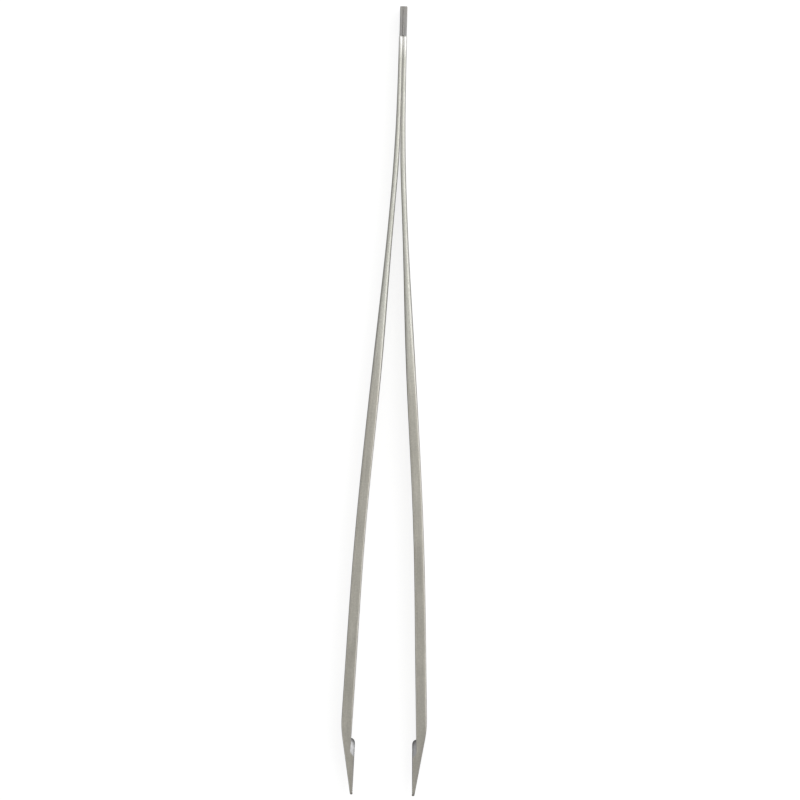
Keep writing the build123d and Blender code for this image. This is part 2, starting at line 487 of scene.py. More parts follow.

# %% [markdown]
# ## Skinning the sections
# Neighbouring sections are joined with four-sided faces. Three things ride along on
# every corner of the mesh. "edge" says how exposed a place is to rubbing, for the
# material to brighten it. "ground" marks the pad's wall, which a wheel has left cleaner.
# "along" says how far down the arm it is, for the heat tint and the painted shade at the tips.
# The map named strip holds the same place as a flat pattern, distance along by distance across,
# so a brushed grain can follow the arm through all its bends. A belt sands one face at a
# time, so each face has a strip of its own, and the strips meet on the rubbed long edges.

# %% A closed ring
def closed_ring(place):
    """A full ring of points (x, z) with their wear, upper half then lower half."""
    upper, wear = section(place)
    lower, lower_wear = upper[::-1] * [1, -1], wear[::-1]
    ring = np.vstack([upper, lower[1:-1]])
    ring_wear = np.concatenate([wear, lower_wear[1:-1]])
    return ring, ring_wear


# %% The strip map's four faces
OUTER_FACE_END = FACE_STEPS + CORNER_STEPS // 2
SIDE_END = FACE_STEPS + CORNER_STEPS + SIDE_STEPS + CORNER_STEPS // 2
INNER_FOOT = FACE_STEPS + 2 * CORNER_STEPS + SIDE_STEPS
STRIP_APART = 20.0


def strip_face(column, count):
    """The face that a column of quads is on: 0 outer, 1 upper side, 2 inner, 3 lower side."""
    mirrored = min(column, count - 1 - column)
    if mirrored < OUTER_FACE_END:
        return 0
    if mirrored >= SIDE_END:
        return 2
    return 1 if column < count // 2 else 3


def across(ring):
    """Distances across the arm for each of the four faces, with a gap between their strips."""
    x, z = ring[:, 0], ring[:, 1]
    from_outer = ring[0, 0] - x
    from_inner = ring[INNER_FOOT, 0] - x
    strips = [z, from_outer, z + from_inner, from_outer]
    return [(strip + order * STRIP_APART) * MM for order, strip in enumerate(strips)]


# %% Rows of vertices
rings = [(place, closed_ring(place)) for place in stations]


def arm_rows(shape, side):
    """Every ring as a row of vertices that carry their edge, ground and along values."""
    layers = shape.verts.layers.float
    edge_layer, ground_layer, along_layer = layers["edge"], layers["ground"], layers["along"]
    rows = []
    for place, (ring, wear) in rings:
        row = []
        for (x, z), worn in zip(ring, wear):
            corner = shape.verts.new((side * x * MM, head_y - place * MM, middle_z + z * MM))
            corner[edge_layer] = max(0.0, worn)
            corner[ground_layer] = max(0.0, -worn)
            corner[along_layer] = place * MM
            row.append(corner)
        rows.append(row)
    return rows


print("points in a ring:", len(rings[0][1][0]))


# %% Faces between the rows
def skin_rows(shape, rows, side, strip_start):
    """Four-sided faces between neighbouring rows, with the strip map on every corner."""
    strip = shape.loops.layers.uv["strip"]
    maps = [across(ring) for place, (ring, wear) in rings]
    count = len(rows[0])
    for ring_index in range(len(rows) - 1):
        for index in range(count):
            after = (index + 1) % count
            corners = [(ring_index, index), (ring_index, after)]
            corners += [(ring_index + 1, after), (ring_index + 1, index)]
            if side < 0:
                corners.reverse()
            face = shape.faces.new([rows[row][column] for row, column in corners])
            face.smooth = True
            on_face = strip_face(index, count)
            for loop, (row, column) in zip(face.loops, corners):
                down = rings[row][0] * MM
                loop[strip].uv = (down + strip_start, maps[row][on_face][column])


# %% Flat ends
def close_ends(shape, rows, strip_start):
    """Faces over both ends, from the upper half of a ring across to the lower half."""
    strip = shape.loops.layers.uv["strip"]
    for row in (rows[0], rows[-1]):
        for index in range(len(row) // 2):
            corners = [row[index], row[index + 1], row[-index - 1], row[-index]]
            corners = list(dict.fromkeys(corners))
            if len(corners) > 2:
                cap = shape.faces.new(corners)
                cap.smooth = True
                for loop in cap.loops:
                    loop[strip].uv = (loop.vert.co.x + strip_start, loop.vert.co.z)


# %% Build both arms
LEFT_STRIP_START = 0.5
MERGE_DISTANCE = 2e-6
SHARP_ANGLE = math.radians(35)


def build_arm(name, side, strip_start):
    """The arm's mesh. side is 1 for the right arm and -1 for the left one."""
    shape = bmesh.new()
    for layer_name in ("edge", "ground", "along"):
        shape.verts.layers.float.new(layer_name)
    shape.loops.layers.uv.new("strip")
    rows = arm_rows(shape, side)
    skin_rows(shape, rows, side, strip_start)
    close_ends(shape, rows, strip_start)
    bmesh.ops.remove_doubles(shape, verts=shape.verts, dist=MERGE_DISTANCE)
    bmesh.ops.dissolve_degenerate(shape, edges=shape.edges, dist=MERGE_DISTANCE / 2)
    bmesh.ops.recalc_face_normals(shape, faces=shape.faces)
    mesh = bpy.data.meshes.new(name)
    shape.to_mesh(mesh)
    shape.free()
    mesh.set_sharp_from_angle(angle=SHARP_ANGLE)
    piece = bpy.data.objects.new(name, mesh)
    bpy.context.scene.collection.objects.link(piece)
    return piece


right_arm = build_arm("right_arm_forging", 1, 0.0)
left_arm = build_arm("left_arm_forging", -1, LEFT_STRIP_START)
for arm in (right_arm, left_arm):
    print(arm.name, len(arm.data.vertices), "vertices,", len(arm.data.polygons), "faces")

# %% [markdown]
# ## Teeth across the pads
# The pads are cut with fine grooves, so that wet stems don't slide out. Every tooth is
# the same ridge, one pitch after the last and getting narrower as the jaw tapers. That
# is what Geometry Nodes are for: the object's own mesh is one tooth, a line of points
# says where they stand, and the tree scales each one by its number in the row. The
# first few stand inside the pad's arch, so they also keep to the arch's half ellipse.

# %% Helpers for node trees
def add(tree, kind, values=None, **settings):
    """A node with its settings and its unlinked inputs filled in."""
    node = tree.nodes.new(kind)
    for name, value in settings.items():
        setattr(node, name, value)
    for name, value in (values or {}).items():
        node.inputs[name].default_value = value
    return node


def new_tree(name, kind, inputs, output):
    """A node tree with named inputs and one output, and its two end nodes."""
    tree = bpy.data.node_groups.new(name, kind)
    for label, (socket_type, value) in inputs.items():
        made = tree.interface.new_socket(label, in_out="INPUT", socket_type=socket_type)
        if value is not None:
            made.default_value = value
    output_type = "NodeSocketGeometry" if kind == "GeometryNodeTree" else "NodeSocketFloat"
    tree.interface.new_socket(output, in_out="OUTPUT", socket_type=output_type)
    return tree, tree.nodes.new("NodeGroupInput").outputs, tree.nodes.new("NodeGroupOutput").inputs


def wire(tree, links):
    """Joins pairs of an output and an input."""
    for source, target in links:
        tree.links.new(source, target)


def combined(tree, operation, *sides):
    """A maths node's output. Each side is a number or a linked output."""
    node = add(tree, "ShaderNodeMath", operation=operation)
    for socket, value in zip(node.inputs, sides):
        if isinstance(value, bpy.types.NodeSocket):
            tree.links.new(value, socket)
        else:
            socket.default_value = value
    return node.outputs[0]


# %% The row-of-teeth tree
teeth_inputs = {
    "Geometry": ("NodeSocketGeometry", None),
    "Count": ("NodeSocketInt", 10),
    "Start": ("NodeSocketVector", (0.0, 0.0, 0.0)),
    "Step": ("NodeSocketVector", (0.0, -MM, 0.0)),
    "Start Stretch": ("NodeSocketFloat", 1.0),
    "End Stretch": ("NodeSocketFloat", 1.0),
    "Pitch": ("NodeSocketFloat", 1.0),
    "Arch Back": ("NodeSocketFloat", 1.0),
    "Arch Length": ("NodeSocketFloat", 1.0),
    "Arch Half Width": ("NodeSocketFloat", 1.0),
    "Material": ("NodeSocketMaterial", None),
}
teeth_tree, given, made = new_tree("row_of_teeth", "GeometryNodeTree", teeth_inputs, "Geometry")
number = add(teeth_tree, "GeometryNodeInputIndex").outputs["Index"]
last_number = combined(teeth_tree, "SUBTRACT", given["Count"], 1.0)
gone = combined(teeth_tree, "MULTIPLY", number, given["Pitch"])
back = combined(teeth_tree, "SUBTRACT", given["Arch Back"], gone)
inside = combined(teeth_tree, "MAXIMUM", back, 0.0)
share = combined(teeth_tree, "DIVIDE", inside, given["Arch Length"])
share = combined(teeth_tree, "MINIMUM", share, 1.0)
rest = combined(teeth_tree, "SUBTRACT", 1.0, combined(teeth_tree, "POWER", share, 2.0))
root = combined(teeth_tree, "SQRT", rest)
arch = combined(teeth_tree, "MULTIPLY", root, given["Arch Half Width"])

# %% The teeth on their line
line = add(teeth_tree, "GeometryNodeMeshLine", mode="OFFSET")
stretch = add(teeth_tree, "ShaderNodeMapRange")
narrower = combined(teeth_tree, "MINIMUM", stretch.outputs["Result"], arch)
scale = add(teeth_tree, "ShaderNodeCombineXYZ", {"X": 1.0, "Y": 1.0})
stand = add(teeth_tree, "GeometryNodeInstanceOnPoints")
realize = add(teeth_tree, "GeometryNodeRealizeInstances")
paint = add(teeth_tree, "GeometryNodeSetMaterial")
wire(teeth_tree, [
    (given["Count"], line.inputs["Count"]),
    (given["Start"], line.inputs["Start Location"]),
    (given["Step"], line.inputs["Offset"]),
    (number, stretch.inputs["Value"]),
    (last_number, stretch.inputs["From Max"]),
    (given["Start Stretch"], stretch.inputs["To Min"]),
    (given["End Stretch"], stretch.inputs["To Max"]),
    (narrower, scale.inputs["Z"]),
    (line.outputs["Mesh"], stand.inputs["Points"]),
    (given["Geometry"], stand.inputs["Instance"]),
    (scale.outputs["Vector"], stand.inputs["Scale"]),
    (stand.outputs["Instances"], realize.inputs["Geometry"]),
    (realize.outputs["Geometry"], paint.inputs["Geometry"]),
    (given["Material"], paint.inputs["Material"]),
    (paint.outputs["Geometry"], made["Geometry"]),
])
print("row_of_teeth:", len(teeth_tree.nodes), "nodes")


# %% Run a tree once and keep a plain mesh
def apply_tree(piece, tree, values):
    """The piece with the tree's result as its mesh, and no modifier left on it."""
    modifier = piece.modifiers.new(tree.name, "NODES")
    modifier.node_group = tree
    for item in tree.interface.items_tree:
        if item.in_out == "INPUT" and item.name in values:
            modifier[item.identifier] = values[item.name]
    bpy.context.view_layer.update()
    seen = piece.evaluated_get(bpy.context.evaluated_depsgraph_get())
    mesh = bpy.data.meshes.new_from_object(seen)
    piece.modifiers.remove(modifier)
    piece.data = mesh
    mesh.name = piece.name
    print(piece.name, len(mesh.polygons), "faces")
    return piece


def mesh_piece(name, corners, faces):
    """A piece from plain lists, with its faces turned outwards."""
    mesh = bpy.data.meshes.new(name)
    mesh.from_pydata([tuple(c) for c in corners], [], faces)
    shape = bmesh.new()
    shape.from_mesh(mesh)
    bmesh.ops.recalc_face_normals(shape, faces=shape.faces)
    shape.to_mesh(mesh)
    shape.free()
    piece = bpy.data.objects.new(name, mesh)
    bpy.context.scene.collection.objects.link(piece)
    return piece


# %% One tooth
TOOTH_LAND = 0.12
TOOTH_SUNK = 0.05
TOOTH_END_SLANT = 0.12
TOOTH_SIDE_MARGIN = 0.1
TOOTH_BASE = 0.98


def tooth_mesh(name, side):
    """A ridge across the pad, 2 mm wide, with its foot sunk a little into the pad."""
    lean = math.atan(pad_line[0])
    base, land = TOOTH_BASE * tooth_pitch / 2, TOOTH_LAND / 2
    profile = [(TOOTH_SUNK, -base), (0.0, -base), (-tooth_height, -land)]
    profile += [(-tooth_height, land), (0.0, base), (TOOTH_SUNK, base)]
    corners = []
    for end in (-1, 1):
        for x, along in profile:
            width = 1 - (TOOTH_END_SLANT if x < 0 else 0.0)
            turned_x = x * math.cos(lean) + along * math.sin(lean)
            turned_y = -along * math.cos(lean) + x * math.sin(lean)
            corners.append((side * turned_x * MM, turned_y * MM, end * width * MM))
    count = len(profile)
    faces = [[i, (i + 1) % count, (i + 1) % count + count, i + count] for i in range(count)]
    faces += [list(range(count)), list(range(count, 2 * count))]
    return mesh_piece(name, corners, faces)


# %% The rows on both jaws
tooth_count = len(grooves) - 1
first_tooth = grooves[0] + tooth_pitch / 2
last_tooth = first_tooth + (tooth_count - 1) * tooth_pitch
jaw_steel = bpy.data.materials.new("ground_jaw_steel")
teeth_rows = {}
for name, side in (("right_jaw_teeth", 1), ("left_jaw_teeth", -1)):
    row_start = (side * pad_face(first_tooth) * MM, head_y - first_tooth * MM, middle_z)
    row_step = (side * pad_line[0] * tooth_pitch * MM, -tooth_pitch * MM, 0.0)
    teeth_rows[name] = apply_tree(tooth_mesh(name, side), teeth_tree, {
        "Count": tooth_count,
        "Start": row_start,
        "Step": row_step,
        "Start Stretch": steady(first_tooth, WIDTH) - TOOTH_SIDE_MARGIN,
        "End Stretch": steady(last_tooth, WIDTH) - TOOTH_SIDE_MARGIN,
        "Pitch": tooth_pitch,
        "Arch Back": arch_end - first_tooth + tooth_pitch / 2,
        "Arch Length": ARCH_LENGTH - FRONT_LEAN,
        "Arch Half Width": ARCH_HALF_WIDTH - SIDE_LEAN - TOOTH_SIDE_MARGIN,
        "Material": jaw_steel,
    })

# %% [markdown]
# ## Weld ripples
# The two tangs are joined by one fine bead that runs up one side of the block, over the
# head's end and down the other side. A weld pool freezes in small steps, and each step
# leaves a curved ripple over the last. So the object's own mesh is the bead's path, and
# the tree sets a flattened ball at even steps along it, turned to follow the path.

# %% The weld-ripple tree
ripple_inputs = {
    "Geometry": ("NodeSocketGeometry", None),
    "Spacing": ("NodeSocketFloat", 0.3 * MM),
    "Radius": ("NodeSocketFloat", 0.3 * MM),
    "Flatness": ("NodeSocketFloat", 0.3),
    "Unevenness": ("NodeSocketFloat", 0.08),
    "Seed": ("NodeSocketInt", 7),
    "Material": ("NodeSocketMaterial", None),
}
ripple_tree, given, made = new_tree("weld_ripples", "GeometryNodeTree", ripple_inputs, "Geometry")
path = add(ripple_tree, "GeometryNodeMeshToCurve")
steps = add(ripple_tree, "GeometryNodeResampleCurve")
steps.mode = "LENGTH"
points = add(ripple_tree, "GeometryNodeCurveToPoints", mode="EVALUATED")
ball = add(ripple_tree, "GeometryNodeMeshUVSphere", {"Segments": 12, "Rings": 6})
follow = add(ripple_tree, "FunctionNodeAlignRotationToVector", axis="Y", pivot_axis="X")
low_size = combined(ripple_tree, "SUBTRACT", 1.0, given["Unevenness"])
high_size = combined(ripple_tree, "ADD", 1.0, given["Unevenness"])
size = add(ripple_tree, "FunctionNodeRandomValue", data_type="FLOAT")
squeeze = add(ripple_tree, "ShaderNodeCombineXYZ", {"X": 1.0, "Y": 1.0})
both = add(ripple_tree, "ShaderNodeVectorMath", operation="SCALE")
stand = add(ripple_tree, "GeometryNodeInstanceOnPoints")
realize = add(ripple_tree, "GeometryNodeRealizeInstances")
paint = add(ripple_tree, "GeometryNodeSetMaterial")

# %% Links of the weld ripples
random_low, random_high = [s for s in size.inputs if s.name in ("Min", "Max") and s.type == "VALUE"]
random_out = [s for s in size.outputs if s.type == "VALUE"][0]
wire(ripple_tree, [
    (given["Geometry"], path.inputs["Mesh"]),
    (path.outputs["Curve"], steps.inputs["Curve"]),
    (given["Spacing"], steps.inputs["Length"]),
    (steps.outputs["Curve"], points.inputs["Curve"]),
    (given["Radius"], ball.inputs["Radius"]),
    (points.outputs["Tangent"], follow.inputs["Vector"]),
    (low_size, random_low),
    (high_size, random_high),
    (given["Seed"], size.inputs["Seed"]),
    (given["Flatness"], squeeze.inputs["Z"]),
    (squeeze.outputs["Vector"], both.inputs[0]),
    (random_out, both.inputs["Scale"]),
    (points.outputs["Points"], stand.inputs["Points"]),
    (ball.outputs["Mesh"], stand.inputs["Instance"]),
    (follow.outputs["Rotation"], stand.inputs["Rotation"]),
    (both.outputs["Vector"], stand.inputs["Scale"]),
    (stand.outputs["Instances"], realize.inputs["Geometry"]),
    (realize.outputs["Geometry"], paint.inputs["Geometry"]),
    (given["Material"], paint.inputs["Material"]),
    (paint.outputs["Geometry"], made["Geometry"]),
])
print("weld_ripples:", len(ripple_tree.nodes), "nodes")

# %% The bead's path
weld_low, weld_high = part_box("weld_seam")
RIPPLE_RADIUS = 0.34
RIPPLE_FLATNESS = 0.36
RIPPLE_SPACING = 0.3
RIPPLE_UNEVENNESS = 0.06
BEAD_PROUD = 0.05
BEAD_START = 0.35
BEAD_CORNER_CUT = 0.8
bead_sink = 1.3 * RIPPLE_RADIUS * RIPPLE_FLATNESS * MM
weld_steel = bpy.data.materials.new("weld_bead_steel")
bead_start = weld_low.y + BEAD_START * MM
bead_end = weld_high.y - bead_sink
bead_top = weld_high.z - BEAD_PROUD * MM
bead_bottom = weld_low.z + BEAD_PROUD * MM
cut = BEAD_CORNER_CUT * MM
bead_corners = [
    (0.0, bead_start, bead_top),
    (0.0, bead_end - cut, bead_top),
    (0.0, bead_end, bead_top - cut),
    (0.0, bead_end, bead_bottom + cut),
    (0.0, bead_end - cut, bead_bottom),
    (0.0, bead_start, bead_bottom),
]
bead_runs = [(index, index + 1) for index in range(len(bead_corners) - 1)]
bead_mesh = bpy.data.meshes.new("weld_ripples")
bead_mesh.from_pydata(bead_corners, bead_runs, [])
weld_ripples = bpy.data.objects.new("weld_ripples", bead_mesh)
bpy.context.scene.collection.objects.link(weld_ripples)
apply_tree(weld_ripples, ripple_tree, {
    "Spacing": RIPPLE_SPACING * MM,
    "Radius": RIPPLE_RADIUS * MM,
    "Flatness": RIPPLE_FLATNESS,
    "Unevenness": RIPPLE_UNEVENNESS,
    "Seed": 7,
    "Material": weld_steel,
})
weld_ripples.data.shade_smooth()

# %% [markdown]
# ## Effects the finishes share
# Three effects turn up in more than one finish, so each is a node group that is built
# once. Grain is fine noise pulled out along the metal, as a belt sander leaves it.
# Wear shows where hands and pots rub the long edges bright. Smudges are the faint
# patches that fingers and water leave.

# %% Grain
grain_inputs = {
    "Vector": ("NodeSocketVector", None),
    "Stretch": ("NodeSocketVector", (30.0, 4000.0, 1.0)),
    "Softness": ("NodeSocketFloat", 0.5),
    "Spread": ("NodeSocketFloat", 0.2),
}
grain_group, given, made = new_tree("brushed_grain", "ShaderNodeTree", grain_inputs, "Streaks")
pulled = add(grain_group, "ShaderNodeVectorMath", operation="MULTIPLY")
coarse = add(grain_group, "ShaderNodeTexNoise", {"Scale": 0.3, "Detail": 2.0})
fine = add(grain_group, "ShaderNodeTexNoise", {"Scale": 1.0, "Detail": 4.0, "Roughness": 0.65})
together = add(grain_group, "ShaderNodeMix", data_type="FLOAT")
low_end = combined(grain_group, "SUBTRACT", 0.5, given["Spread"])
high_end = combined(grain_group, "ADD", 0.5, given["Spread"])
contrast = add(grain_group, "ShaderNodeMapRange")
wire(grain_group, [
    (given["Vector"], pulled.inputs[0]),
    (given["Stretch"], pulled.inputs[1]),
    (pulled.outputs["Vector"], coarse.inputs["Vector"]),
    (pulled.outputs["Vector"], fine.inputs["Vector"]),
    (given["Softness"], together.inputs["Factor"]),
    (fine.outputs["Fac"], together.inputs["A"]),
    (coarse.outputs["Fac"], together.inputs["B"]),
    (low_end, contrast.inputs["From Min"]),
    (high_end, contrast.inputs["From Max"]),
    (together.outputs["Result"], contrast.inputs["Value"]),
    (contrast.outputs["Result"], made["Streaks"]),
])

# %% Edge wear
wear_inputs = {
    "Edge": ("NodeSocketFloat", 0.0),
    "Vector": ("NodeSocketVector", None),
    "Patch Scale": ("NodeSocketFloat", 300.0),
    "Amount": ("NodeSocketFloat", 0.5),
}
wear_group, given, made = new_tree("edge_wear", "ShaderNodeTree", wear_inputs, "Worn")
patches = add(wear_group, "ShaderNodeTexNoise", {"Detail": 3.0})
broken = add(wear_group, "ShaderNodeMapRange", {"From Min": 0.3, "From Max": 0.65})
on_edge = combined(wear_group, "MULTIPLY", broken.outputs["Result"], given["Edge"])
worn = combined(wear_group, "MULTIPLY", on_edge, given["Amount"])
wire(wear_group, [
    (given["Vector"], patches.inputs["Vector"]),
    (given["Patch Scale"], patches.inputs["Scale"]),
    (patches.outputs["Fac"], broken.inputs["Value"]),
    (worn, made["Worn"]),
])

# %% Handling smudges
smudge_inputs = {
    "Vector": ("NodeSocketVector", None),
    "Size": ("NodeSocketFloat", 90.0),
    "Amount": ("NodeSocketFloat", 0.5),
}
smudge_group, given, made = new_tree("handling_smudges", "ShaderNodeTree", smudge_inputs, "Smudge")
print_look = {"Detail": 5.0, "Roughness": 0.6, "Distortion": 0.6}
prints = add(smudge_group, "ShaderNodeTexNoise", print_look)
patchy = add(smudge_group, "ShaderNodeMapRange", {"From Min": 0.42, "From Max": 0.68})
smudged = combined(smudge_group, "MULTIPLY", patchy.outputs["Result"], given["Amount"])
wire(smudge_group, [
    (given["Vector"], prints.inputs["Vector"]),
    (given["Size"], prints.inputs["Scale"]),
    (prints.outputs["Fac"], patchy.inputs["Value"]),
    (smudged, made["Smudge"]),
])
print("shared groups:", grain_group.name, wear_group.name, smudge_group.name)


# %% Place a group in a material
def use_group(tree, group, values):
    """A group node with its values and the name of its group."""
    node = add(tree, "ShaderNodeGroup", node_tree=group)
    node.label = group.name
    for name, value in values.items():
        node.inputs[name].default_value = value
    return node


def mixed(tree, factor, first, second):
    """A colour mix whose factor is linked. Either side is a colour or a linked output."""
    node = add(tree, "ShaderNodeMix", data_type="RGBA")
    tree.links.new(factor, node.inputs["Factor"])
    sides = [socket for socket in node.inputs if socket.type == "RGBA"]
    for side, value in zip(sides, (first, second)):
        if isinstance(value, bpy.types.NodeSocket):
            tree.links.new(value, side)
        else:
            side.default_value = (*value, 1.0)
    return [socket for socket in node.outputs if socket.type == "RGBA"][0]


def ramp(tree, source, stops):
    """A float that follows straight runs between (place, value) stops."""
    low, high = stops[0][0], stops[-1][0]
    share = add(tree, "ShaderNodeMapRange", {"From Min": low, "From Max": high})
    tree.links.new(source, share.inputs["Value"])
    node = add(tree, "ShaderNodeValToRGB")
    points = node.color_ramp.elements
    while len(points) < len(stops):
        points.new(0.5)
    for point, (place, value) in zip(points, stops):
        point.position = (place - low) / (high - low)
    for point, (place, value) in zip(points, stops):
        point.color = (value, value, value, 1.0)
    tree.links.new(share.outputs["Result"], node.inputs["Fac"])
    return node.outputs["Color"]

# %% [markdown]
# ## Brushed stainless steel
# The arms are stainless steel with a satin finish that runs lengthwise. Steel is a
# metal, so its colour tints what it reflects. The streaks change its roughness and,
# very slightly, its height, and a fine mottle keeps the tone from being even. The tang
# under the weld is only sheared and ground, so it is darker and rougher, with a faint
# straw tint from the heat. Just past the shoulder, a short near-white band is a painted
# highlight, the brightest tone of all. The thin leaf is cooler than the shank and painted
# a little lighter, which stands in for light, and the tips are darkened with painted
# shade. Each of these zones is a ramp along the arm that mixes one more tone over the last.

# %% Tones of the arms
SATIN_STEEL = (0.60, 0.578, 0.510)
# The leaf tone is cooler than the satin one, and painted lighter to stand in for light on the upper arms.
LEAF_TONE_AND_LIGHT = (0.645, 0.643, 0.58)
BRIGHT_STEEL = (0.72, 0.705, 0.68)
SHEARED_STEEL = (0.365, 0.36, 0.355)
STRAW_TINT = (0.44, 0.415, 0.375)
# The next tone is painted shade for the tips.
TIP_SHADE_STEEL = (0.40, 0.375, 0.335)
GROUND_STEEL = (0.48, 0.48, 0.485)
# The next tone is a painted highlight for the short band just past the shoulder.
SHOULDER_HIGHLIGHT_STEEL = (0.94, 0.93, 0.90)


def shades(tone, darker, lighter):
    """A darker and a lighter shade of one tone."""
    return [tuple(scale * part for part in tone) for scale in (darker, lighter)]


# %% Masks of the arms' finish
brushed_steel = bpy.data.materials.new("brushed_stainless")
brushed_steel.use_nodes = True
tree = brushed_steel.node_tree
steel = tree.nodes["Principled BSDF"]
steel.inputs["Metallic"].default_value = 1.0
strip = add(tree, "ShaderNodeUVMap", uv_map="strip").outputs["UV"]
spot = add(tree, "ShaderNodeTexCoord").outputs["Object"]
edge = add(tree, "ShaderNodeAttribute", attribute_name="edge").outputs["Fac"]
along = add(tree, "ShaderNodeAttribute", attribute_name="along").outputs["Fac"]
ground = add(tree, "ShaderNodeAttribute", attribute_name="ground").outputs["Fac"]
belt_lines = {"Stretch": (45.0, 2600.0, 1.0), "Softness": 0.45, "Spread": 0.2}
hair_lines = {"Stretch": (500.0, 9000.0, 1.0), "Softness": 0.3, "Spread": 0.25}
grain = use_group(tree, grain_group, belt_lines)
hairs = use_group(tree, grain_group, hair_lines)
mottle = add(tree, "ShaderNodeTexNoise", {"Scale": 1500.0, "Detail": 3.0, "Roughness": 0.6})
wear = use_group(tree, wear_group, {"Patch Scale": 260.0, "Amount": 0.7})
smudge = use_group(tree, smudge_group, {"Size": 80.0, "Amount": 1.0})
wire(tree, [
    (strip, grain.inputs["Vector"]),
    (strip, hairs.inputs["Vector"]),
    (spot, mottle.inputs["Vector"]),
    (edge, wear.inputs["Edge"]),
    (spot, wear.inputs["Vector"]),
    (spot, smudge.inputs["Vector"]),
])
streaks = grain.outputs["Streaks"]
hair = hairs.outputs["Streaks"]
worn_edge = wear.outputs["Worn"]

# %% Zones along the arms
at_tang_end = tang_end * MM
at_tip = length * MM
on_tang = ramp(tree, along, [
    (0.0, 1.0),
    (at_tang_end - 0.2 * MM, 1.0),
    (at_tang_end + 0.1 * MM, 0.0),
    (at_tang_end + 0.8 * MM, 0.0),
])
heat = ramp(tree, along, [
    (0.0, 0.5),
    (3.0 * MM, 0.25),
    (8.0 * MM, 0.1),
    (at_tang_end, 0.0),
])
# Painted highlight: a near-white band just past the shoulder.
painted_shoulder_highlight = ramp(tree, along, [
    (at_tang_end - 0.1 * MM, 0.0),
    (at_tang_end + 0.2 * MM, 1.0),
    (at_tang_end + 2.8 * MM, 0.8),
    (at_tang_end + 7.8 * MM, 0.0),
])
# The leaf zone: a cooler tone of its own, painted lighter as well, which stands in for light.
leaf_tone_and_painted_light = ramp(tree, along, [(0.0, 1.0), (105 * MM, 1.0), (135 * MM, 0.0), (140 * MM, 0.0)])
# Painted shade that darkens the tips, most at the very end.
painted_tip_shade = ramp(tree, along, [
    (at_tip - 30.0 * MM, 0.0),
    (at_tip - 15.0 * MM, 0.03),
    (at_tip - 2.5 * MM, 0.1),
    (at_tip, 0.8),
])
leaf_roughness = ramp(tree, along, [(0.0, 0.18), (80 * MM, 0.18), (150 * MM, 0.0), (160 * MM, 0.0)])

# %% Colour of the arms
streak_shade = combined(tree, "MULTIPLY_ADD", hair, 0.45, combined(tree, "MULTIPLY", streaks, 0.55))
fine_mottle = combined(tree, "MULTIPLY_ADD", mottle.outputs["Fac"], 1.0, -0.5)
streak_shade = combined(tree, "ADD", streak_shade, fine_mottle)
colour = mixed(tree, streak_shade, *shades(SATIN_STEEL, 0.82, 1.18))
leaf = mixed(tree, streak_shade, *shades(LEAF_TONE_AND_LIGHT, 0.82, 1.18))
colour = mixed(tree, leaf_tone_and_painted_light, colour, leaf)
colour = mixed(tree, worn_edge, colour, BRIGHT_STEEL)
sheared = mixed(tree, streaks, *shades(SHEARED_STEEL, 0.88, 1.18))
sheared = mixed(tree, heat, sheared, STRAW_TINT)
# Of these zones, the band past the shoulder is a painted highlight and the tips carry painted shade.
for zone, tone in [
    (on_tang, sheared),
    (painted_shoulder_highlight, SHOULDER_HIGHLIGHT_STEEL),
    (painted_tip_shade, TIP_SHADE_STEEL),
    (ground, GROUND_STEEL),
]:
    colour = mixed(tree, zone, colour, tone)
tree.links.new(colour, steel.inputs["Base Color"])

# %% Roughness and height of the arms
BELT_ROUGHNESS = 0.27
rough = combined(tree, "MULTIPLY_ADD", streaks, 0.10, BELT_ROUGHNESS)
for mask, change in [
    (hair, 0.06),
    (smudge.outputs["Smudge"], 0.06),
    (worn_edge, -0.06),
    (on_tang, 0.06),
    (ground, 0.14),
]:
    rough = combined(tree, "MULTIPLY_ADD", mask, change, rough)
rough = combined(tree, "ADD", leaf_roughness, rough)
tree.links.new(rough, steel.inputs["Roughness"])
height = combined(tree, "MULTIPLY_ADD", hair, 0.5, streaks)
bump = add(tree, "ShaderNodeBump", {"Strength": 0.4, "Distance": 0.00004})
tree.links.new(height, bump.inputs["Height"])
tree.links.new(bump.outputs["Normal"], steel.inputs["Normal"])
print(brushed_steel.name, len(tree.nodes), "nodes")

# %% [markdown]
# ## Ground teeth and the weld bead
# The teeth are cut across the pad, so their grain runs across too.
# The bead was never ground: it is smoother than the satin steel and
# keeps the brown tint of its heat.


# %% A plain steel finish with grain on object coordinates
def steel_finish(material, tones, stretch, roughness, bump_strength, patch_size):
    """Fills in a steel material: dark and light tone, grain, smudges and bump."""
    material.use_nodes = True
    tree = material.node_tree
    steel = tree.nodes["Principled BSDF"]
    steel.inputs["Metallic"].default_value = 1.0
    spot = add(tree, "ShaderNodeTexCoord").outputs["Object"]
    grain = use_group(tree, grain_group, {"Stretch": stretch, "Softness": 0.3})
    smudge = use_group(tree, smudge_group, {"Size": patch_size, "Amount": 1.0})
    tree.links.new(spot, grain.inputs["Vector"])
    tree.links.new(spot, smudge.inputs["Vector"])
    streaks, patches = grain.outputs["Streaks"], smudge.outputs["Smudge"]
    shade = combined(tree, "MULTIPLY_ADD", patches, 0.5, combined(tree, "MULTIPLY", streaks, 0.6))
    tree.links.new(mixed(tree, shade, *tones), steel.inputs["Base Color"])
    rough = combined(tree, "MULTIPLY_ADD", streaks, 0.2, roughness)
    tree.links.new(rough, steel.inputs["Roughness"])
    bump = add(tree, "ShaderNodeBump", {"Strength": bump_strength, "Distance": 0.00003})
    tree.links.new(streaks, bump.inputs["Height"])
    tree.links.new(bump.outputs["Normal"], steel.inputs["Normal"])
    print(material.name, len(tree.nodes), "nodes")


